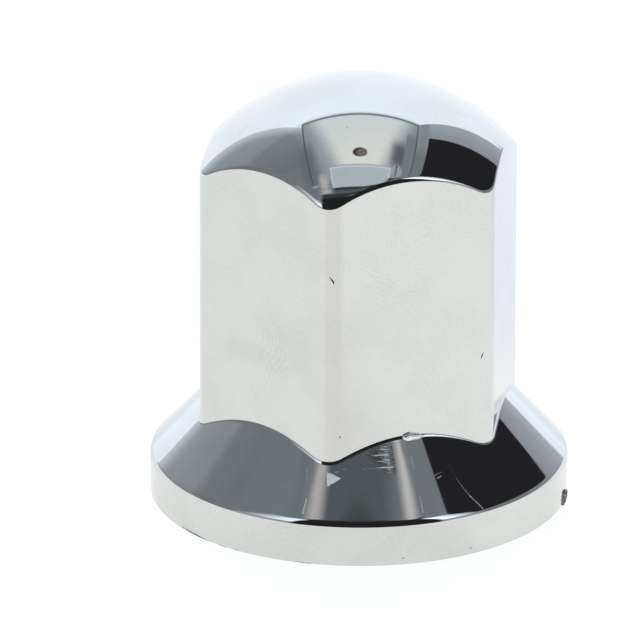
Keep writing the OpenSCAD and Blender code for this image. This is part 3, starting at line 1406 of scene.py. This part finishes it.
@dataclass(frozen=True)
class LightTent:
    """The plain tent of light around the cover, which the plating mirrors.

    horizon is how high the floor's tone reaches, in degrees, and horizon_blur is the share of that over which
    it fades to each side.
    """

    horizon: float = 3.0
    horizon_blur: float = 0.2
    base: Colour = grey(0.24)

    def panels(self) -> list[Panel]:
        """The panels, each laid over the ones before it."""
        return [*self._walls(), *self._ceiling(), *self._front()]

    def _walls(self) -> list[Panel]:
        """Lays out the side walls with the window, and the bright back wall.

        Returns:
            The panels, in order.
        """
        left, right, back = Place.LEFT_WALL, Place.RIGHT_WALL, Place.BACK_WALL
        return [
            Panel("left_wall", left, (0.0, -1), (1.3, 9), grey(0.215), (0.1, 0.01), grey(0.36)),
            Panel("left_far", left, (0.0, 0.05), (9, 2.15), grey(0.28), (0.09, 0.06), grey(0.45),
                  end_at=1.3, flare=-0.58),
            Panel("left_end", left, (1.12, -1), (1.4, 9), grey(0.9), (0.25, 0.01)),
            Panel("right_wall", right, (0.25, -1), (1.5, 9), grey(0.25), (0.1, 0.01), grey(0.54)),
            Panel("right_upper", right, (0.6, 1.85), (1.5, 9), grey(0.33), (0.1, 0.1)),
            Panel("window", right, (-0.385, 0.5), (0.83, 1.83), (0.021, 0.021, 0.024), (0.012, 0.012)),
            Panel("back_wall", back, (-0.82, -1), (0.725, 9), (1.04, 1.09, 1.14), (0.008, 0.01),
                  (1.44, 1.62, 1.90), 1),
            Panel("right_end", back, (0.655, -1), (0.78, 0.3), grey(0.54), (0.025, 0.12)),
        ]

    def _ceiling(self) -> list[Panel]:
        """Lays out the ceiling light, its frame, the lens hole and the pale card in front of it.

        Returns:
            The panels, in order.
        """
        top, oval = Place.CEILING, Outline.OVAL
        left, right, near, far = -0.44, 0.445, -0.37, 0.605
        line = 0.005
        fan = (0.93, 0.95, 0.90)
        return [
            Panel("ceiling", top, (left, near), (right, far), grey(0.27)),
            Panel("ceiling_glow", top, (-0.28, -0.3), (0.27, far), grey(0.50), (0.11, 0.08), flare=0.2),
            Panel("ceiling_light", top, (-0.17, -0.11), (0.18, far), fan, (0.08, 0.015),
                  (0.82, 0.90, 0.93), 1, flare=0.26),
            Panel("left_dusk", top, (-0.5, near), (-0.37, 0.2), grey(0.20), (0.06, 0.15)),
            Panel("dark_band", top, (0.25, -0.09), (0.37, 0.2), grey(0.16), (0.045, 0.09)),
            Panel("band_far_side", top, (0.355, -0.36), (right, 0.36), grey(0.27), (0.006, 0.06)),
            Panel("left_frame", top, (left, -0.28), (left + 2 * line, far), grey(0.10), (0.003, 0.01)),
            Panel("right_frame", top, (right - 2 * line, -0.3), (right, far), grey(0.12), (0.003, 0.01)),
            Panel("far_frame", top, (left, far - 0.03), (right, far + 0.01), grey(0.24), (0.006, 0.015)),
            Panel("lens_hole", top, (-0.055, -0.025), (0.055, 0.085), (0.05, 0.045, 0.045),
                  (0.1, 0.1), outline=oval),
            Panel("lens_glass", top, (-0.028, -0.022), (0.058, 0.072), (0.21, 0.19, 0.19),
                  (0.15, 0.1), outline=oval),
            Panel("card_rim", top, (-0.25, near), (0.26, -0.125), grey(0.83)),
            Panel("card", top, (-0.24, near), (0.245, -0.14), grey(0.62)),
            Panel("card_wing", top, (-0.36, -0.38), (-0.29, -0.2), (0.58, 0.56, 0.57), (0.03, 0.05)),
            Panel("wing_streak", top, (-0.45, -0.33), (-0.38, -0.3), grey(0.45), (0.3, 0.3), outline=oval),
            Panel("cord_glow", top, (0.26, -0.25), (0.36, -0.08), grey(0.45), (0.3, 0.3), outline=oval),
            Panel("cord", top, (0.3, -0.22), (0.312, -0.08), grey(0.12), (0.004, 0.01)),
        ]

    def _front(self) -> list[Panel]:
        """Lays out the dark opening that the camera stands in, and the lights beside it.

        Returns:
            The panels, in order.
        """
        top, all_round = Place.CEILING, Place.ROUND
        near = -0.37
        return [
            Panel("opening", all_round, (-38, 0), (45, 63.1), (0.02, 0.02, 0.021), (1.5, 0.5)),
            Panel("opening_top", top, (-0.37, -0.49), (0.5, near), (0.045, 0.05, 0.055), (0.03, 0.005)),
            Panel("opening_dusk", top, (-0.3, -0.448), (0.33, -0.405), (0.112, 0.13, 0.14), (0.05, 0.01)),
            Panel("opening_side", top, (0.25, -0.36), (0.4, -0.25), (0.04, 0.04, 0.045), (0.03, 0.03)),
            Panel("left_slot", top, (-0.375, -0.43), (-0.265, near), (0.55, 0.535, 0.545), (0.045, 0.01)),
            Panel("slot_glow", top, (0.25, -0.46), (0.38, near), grey(0.23), (0.08, 0.01)),
            Panel("right_slot", top, (0.34, -0.43), (0.42, -0.35), (0.665, 0.655, 0.66), (0.04, 0.01)),
            Panel("left_low", all_round, (-70, 0), (-37, 19), grey(0.41), (3, 2)),
            Panel("right_low", all_round, (46, 0), (70, 19), grey(0.41), (3, 2)),
            Panel("left_light", all_round, (-67, 20), (-36.5, 54.5), grey(0.33), (1.5, 2.5), grey(1.5)),
            Panel("right_light", all_round, (46.5, 20), (67, 54.5), grey(1.95), (1.5, 2.5), grey(0.5)),
        ]


@dataclass(frozen=True)
class Aim:
    """Where the camera stands and what it looks at, in metres and radians."""

    azimuth: float = math.radians(-19.39)
    elevation: float = math.radians(19.15)
    distance: float = 495.7 * MM
    lens_mm: float = 216.3
    sensor_mm: float = 36.0
    nearest: float = 0.01
    target: Point = (0.0, 0.0, 29.18 * MM)
    aside: float = -5.07 * MM
    below: float = -5.97 * MM

    def build(self) -> bpy.types.Object:
        """Makes the camera.

        Returns:
            The camera object.
        """
        back = Vector((
            math.sin(self.azimuth) * math.cos(self.elevation),
            -math.cos(self.azimuth) * math.cos(self.elevation),
            math.sin(self.elevation)))
        right = Vector((math.cos(self.azimuth), math.sin(self.azimuth), 0.0))
        up = back.cross(right)
        stand = Vector(self.target) + back * self.distance
        focus = Vector(self.target) + right * self.aside + up * self.below
        data = bpy.data.cameras.new("camera")
        data.lens = self.lens_mm
        data.sensor_width = self.sensor_mm
        data.clip_start = self.nearest
        camera = link_object("camera", data)
        camera.location = stand
        camera.rotation_euler = (focus - stand).to_track_quat("-Z", "Y").to_euler()
        bpy.context.scene.camera = camera
        return camera


@dataclass(frozen=True)
class FloorTones:
    """How bright the plating sees the floor, from place to place, and the matt floor that lies under that.

    Each tone but the first comes in between the two numbers of its own stretch. Depths are metres away from
    the camera, counted from the axis. An aside is a place's distance to the camera's right over its depth.
    skyline is the tone of what lies beyond the floor, and its stretch is a direction's share away from the
    camera. matt lies under the glow, and pale is what all other light meets.
    """

    first: Colour = (0.945, 0.962, 0.93)
    near: Colour = (0.895, 0.895, 0.86)
    right: Colour = (0.995, 1.015, 0.985)
    far: Colour = (0.89, 0.945, 1.01)
    end: Colour = (0.98, 1.07, 1.15)
    skyline: Colour = (1.08, 1.17, 1.25)
    near_aside: Pair = (0.7, 0.3)
    near_depth: Pair = (-0.02, -0.06)
    right_aside: Pair = (0.35, 0.75)
    far_depth: Pair = (0.015, 0.07)
    end_depth: Pair = (0.08, 0.28)
    skyline_away: Pair = (0.3, 0.8)
    axis_aside: float = 3 * MM
    least_depth: float = 1 * MM
    matt: Colour = (0.3, 0.3, 0.3)
    pale: Colour = (0.8, 0.8, 0.8)
    glow: float = 0.9

    def build(self, turn: float) -> bpy.types.Material:
        """Makes the floor's material, which the camera sees as white and which keeps the cover's shadow.

        Args:
            turn: How far the camera stands round the axis, in radians.

        Returns:
            The floor's material.
        """
        material = bpy.data.materials.new("floor")
        material.use_nodes = True
        tree = material.node_tree
        tree.nodes.remove(tree.nodes["Principled BSDF"])
        path = add_node(tree, "ShaderNodeLightPath", {})
        seen = Field(tree, path.outputs["Is Camera Ray"])
        tone = mix_colours(tree, seen, self._tone(tree, turn), WHITE)
        matt = add_node(tree, "ShaderNodeBsdfDiffuse", {"Color": (*self.matt, 1.0)})
        glow = add_node(tree, "ShaderNodeEmission", {"Color": tone, "Strength": self.glow})
        both = add_node(tree, "ShaderNodeAddShader", {0: matt.outputs[0], 1: glow.outputs[0]})
        shown = seen
        for ray in ("Is Glossy Ray", "Is Transmission Ray"):
            shown = shown.apply("MAXIMUM", Field(tree, path.outputs[ray]))
        pale = add_node(tree, "ShaderNodeBsdfDiffuse", {"Color": (*self.pale, 1.0)})
        mix = add_node(tree, "ShaderNodeMixShader", {0: shown, 1: pale.outputs[0], 2: both.outputs[0]})
        feed(tree, tree.nodes["Material Output"].inputs["Surface"], mix.outputs[0])
        return material

    def _tone(self, tree: bpy.types.NodeTree, turn: float) -> bpy.types.NodeSocket:
        """A little darker in front of the cover, and brighter to its right and behind it.

        Args:
            tree: The material's tree.
            turn: How far the camera stands round the axis, in radians.

        Returns:
            The tone at each place on the floor.
        """
        place = add_node(tree, "ShaderNodeTexCoord", {}).outputs["Object"]
        x, depth, _ = turned_axes(tree, place, turn)
        aside = (x - self.axis_aside) / (depth.apply("ABSOLUTE") + self.least_depth)
        near = soft_step(aside.apply("ABSOLUTE"), *self.near_aside) * soft_step(depth, *self.near_depth)
        tone = mix_colours(tree, near, self.first, self.near)
        tone = mix_colours(tree, soft_step(aside, *self.right_aside), tone, self.right)
        tone = mix_colours(tree, soft_step(depth, *self.far_depth), tone, self.far)
        return mix_colours(tree, soft_step(depth, *self.end_depth), tone, self.end)


@dataclass
class Studio:
    """The floor, the light tent and the camera."""

    aim: Aim = field(default_factory=Aim)
    tent: LightTent = field(default_factory=LightTent)
    floor: FloorTones = field(default_factory=FloorTones)
    floor_size: float = 3.0

    def build(self) -> None:
        """Makes the whole studio."""
        self.aim.build()
        self._build_world()
        self._build_floor()
        bpy.context.scene.view_settings.view_transform = "Standard"

    def _build_floor(self) -> None:
        """Makes the pale floor, which is part of the stage."""
        half = self.floor_size / 2
        corners = [(-half, -half, 0), (half, -half, 0), (half, half, 0), (-half, half, 0)]
        mesh = bpy.data.meshes.new("floor")
        mesh.from_pydata(corners, [], [(0, 1, 2, 3)])
        mesh.materials.append(self.floor.build(self.aim.azimuth))
        floor = link_object("floor", mesh)

    def _build_world(self) -> None:
        """Draws the light tent on the world."""
        world = bpy.data.worlds.new("light_tent")
        world.use_nodes = True
        bpy.context.scene.world = world
        tree = world.node_tree
        direction = add_node(tree, "ShaderNodeTexCoord", {}).outputs["Generated"]
        x, y, z = turned_axes(tree, direction, self.aim.azimuth)
        places = self._places(x, y, z)
        colour: Tone = self.tent.base
        for panel in self.tent.panels():
            shown = self._panel_mask(panel, *places[panel.place])
            colour = mix_colours(tree, shown, colour, self._panel_colour(panel, *places[panel.place]))
        away = soft_step(y, *self.floor.skyline_away)
        floor = mix_colours(tree, away, self.floor.first, self.floor.skyline)
        edge = math.sin(math.radians(self.tent.horizon))
        blur = self.tent.horizon_blur
        below = soft_step(z, (1 + blur) * edge, (1 - blur) * edge)
        colour = mix_colours(tree, below, colour, floor)
        seen = Field(tree, add_node(tree, "ShaderNodeLightPath", {}).outputs["Is Camera Ray"])
        feed(tree, tree.nodes["Background"].inputs["Color"], mix_colours(tree, seen, colour, WHITE))

    def _places(self, x: Field, y: Field, z: Field) -> dict[Place, tuple[Field, Field, Field]]:
        """Works out where a direction meets each part of the tent.

        Args:
            x: The direction's share to the camera's right.
            y: Its share away from the camera.
            z: Its share upwards.

        Returns:
            For each part, the two numbers of the place, and 1 where the direction can meet that part.
        """
        tiny = 1e-4
        height = z.apply("MAXIMUM", tiny)
        aside = x.apply("ABSOLUTE") + tiny
        away = y.apply("MAXIMUM", tiny)
        degrees = 180 / math.pi
        always = 1.0 + 0.0 * x
        return {
            Place.CEILING: (x / height, y / height, tiny < z),
            Place.LEFT_WALL: (y / aside, z / aside, x < 0.0),
            Place.RIGHT_WALL: (y / aside, z / aside, 1.0 - (x < 0.0)),
            Place.BACK_WALL: (x / away, z / away, 1.0 - (y < 0.0)),
            Place.ROUND: (x.apply("ARCTAN2", -y) * degrees, z.apply("ARCSINE") * degrees, always),
        }

    def _panel_mask(self, panel: Panel, across: Field, along: Field, here: Field) -> Field:
        """How much a panel covers, from 0 to 1.

        Args:
            panel: The panel.
            across: The first number of the place.
            along: The second number of the place.
            here: 1 where the direction can meet the panel's part of the tent.

        Returns:
            The panel's cover.
        """
        if panel.outline is Outline.OVAL:
            out = [(value * 2.0 - (low + high)) / (high - low)
                   for value, low, high in zip((across, along), panel.low, panel.high)]
            away = root(out[0] * out[0] + out[1] * out[1])
            return soft_step(away, 1 + panel.soft[0], 1 - panel.soft[0]) * here
        spread = (along - panel.low[1]) * panel.flare if panel.flare else 0.0
        for value, low, high, soft in zip((across, along), panel.low, panel.high, panel.soft):
            here = here * soft_step(value + spread, low - soft, low + soft)
            here = here * soft_step(value - spread, high + soft, high - soft)
            spread = 0.0
        return here

    def _panel_colour(self, panel: Panel, across: Field, along: Field, here: Field) -> Tone:
        """A panel's colour, graded from one side to the other if it has a second colour.

        Args:
            panel: The panel.
            across: The first number of the place.
            along: The second number of the place.
            here: 1 where the direction can meet the panel's part of the tent.

        Returns:
            The colour at each place on the panel.
        """
        if panel.end_colour is None:
            return panel.colour
        start = panel.low[panel.graded]
        end = panel.high[panel.graded] if panel.end_at is None else panel.end_at
        share = ((across, along)[panel.graded] - start) / (end - start)
        return mix_colours(here.tree, hold(share), panel.colour, panel.end_colour)


def main() -> None:
    """Builds the cover and its studio."""
    logging.basicConfig(level=logging.INFO, format="%(name)s: %(message)s")
    Studio().build()
    sizes = CoverSizes.from_box(*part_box(CAD_NODE))
    inner_plate = DullPlate().build()
    shell = Shell(sizes).build(ChromePlate(sizes).build(), inner_plate)
    ribs = GripRibs(sizes).build(inner_plate)
    stub = GateStub(sizes).build(BrokenPlastic().build())
    bead = FootBead(sizes).build(RunPlate().build())
    for piece in (shell, ribs, stub, bead):
        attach(piece, BODY)
        LOG.info("%s has %d faces", piece.name, len(piece.data.polygons))
    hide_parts(CAD_NODE)


if __name__ == "__main__":
    main()
